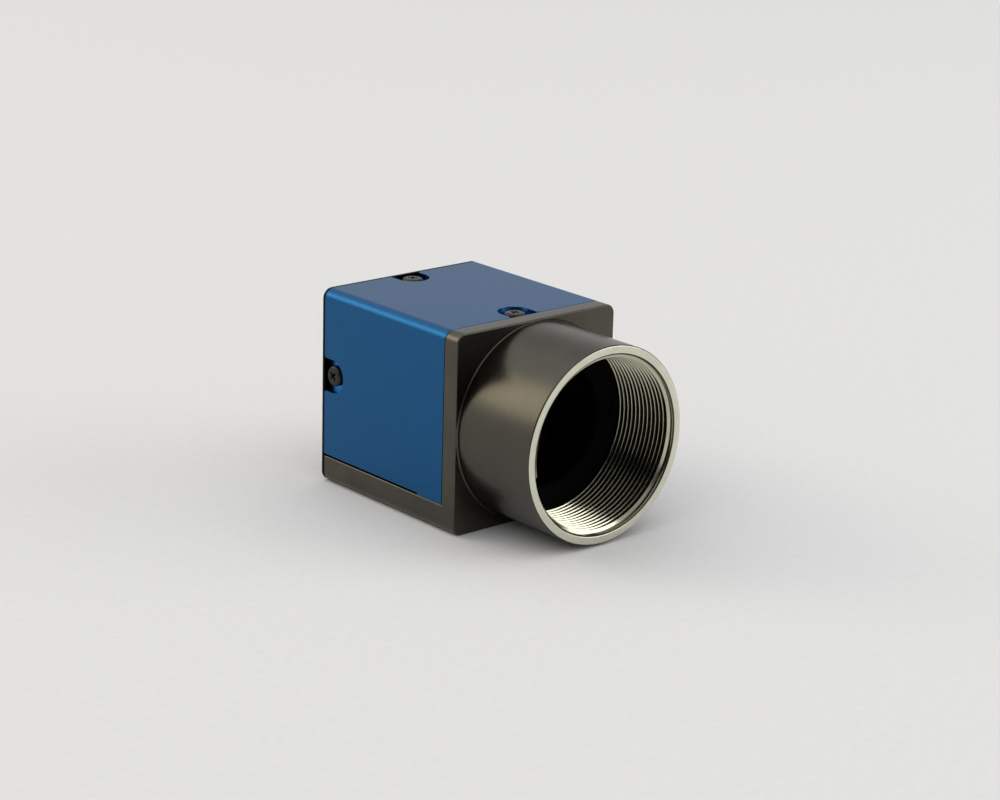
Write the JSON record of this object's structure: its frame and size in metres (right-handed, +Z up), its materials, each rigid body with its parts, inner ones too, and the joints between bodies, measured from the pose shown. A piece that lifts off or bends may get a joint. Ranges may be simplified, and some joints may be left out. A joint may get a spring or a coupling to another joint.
{
  "type": "machine vision camera",
  "caption": "Compact cube industrial camera with a threaded lens barrel, a blue folded cover on a dark L-shaped chassis, and data and trigger sockets at the rear.",
  "frame": {"origin": "centre of the housing's underside", "axes": "+Z up from the underside, -Y out of the lens barrel, +Y out of the rear sockets, +X to the right seen from the lens"},
  "size_m": [0.029, 0.0475, 0.029],
  "materials": {
    "black_anodised": "matt anodised, black",
    "blue_anodised": "satin anodised, deep blue",
    "chip_plastic": "moulded epoxy",
    "circuit_board": "glass-fibre board with solder mask",
    "connector_plastic": "moulded, black",
    "connector_steel": "nickel-plated",
    "contact_gold": "gold-plated",
    "filter_glass": "coated optical glass",
    "gunmetal_anodised": "satin anodised, dark grey-brown",
    "light_pipe": "clear moulded light pipe",
    "package_ceramic": "sintered, dark",
    "screw_steel": "black-zinc plated steel",
    "sensor_silicon": "polished silicon with a colour filter",
    "spacer_brass": "nickel-plated brass",
    "window_glass": "clear cover glass"
  },
  "bodies": {
    "root": {"board_connector_1": "connector_plastic", "board_connector_2": "connector_plastic", "board_connector_3": "connector_plastic", "board_spacer_1_left": "spacer_brass", "board_spacer_1_right": "spacer_brass", "board_spacer_2_left": "spacer_brass", "board_spacer_2_right": "spacer_brass", "board_spacer_3_left": "spacer_brass", "board_spacer_3_right": "spacer_brass", "cover_screw_left": "screw_steel", "cover_screw_right": "screw_steel", "cover_screw_top_front": "screw_steel", "cover_screw_top_rear": "screw_steel", "filter_glass": "filter_glass", "filter_retaining_ring": "black_anodised", "front_chassis": "gunmetal_anodised", "image_processor": "chip_plastic", "interface_board": "circuit_board", "io_insert": "connector_plastic", "io_pins": "contact_gold", "io_shell": "connector_steel", "lens_barrel": "gunmetal_anodised", "power_board": "circuit_board", "processing_board": "circuit_board", "rear_plate": "black_anodised", "rear_screw_left": "screw_steel", "rear_screw_right": "screw_steel", "sensor_board": "circuit_board", "sensor_die": "sensor_silicon", "sensor_package": "package_ceramic", "sensor_window": "window_glass", "status_light": "light_pipe", "top_cover": "blue_anodised", "usb_insert": "connector_plastic", "usb_shell": "connector_steel"}
  },
  "joints": []
}
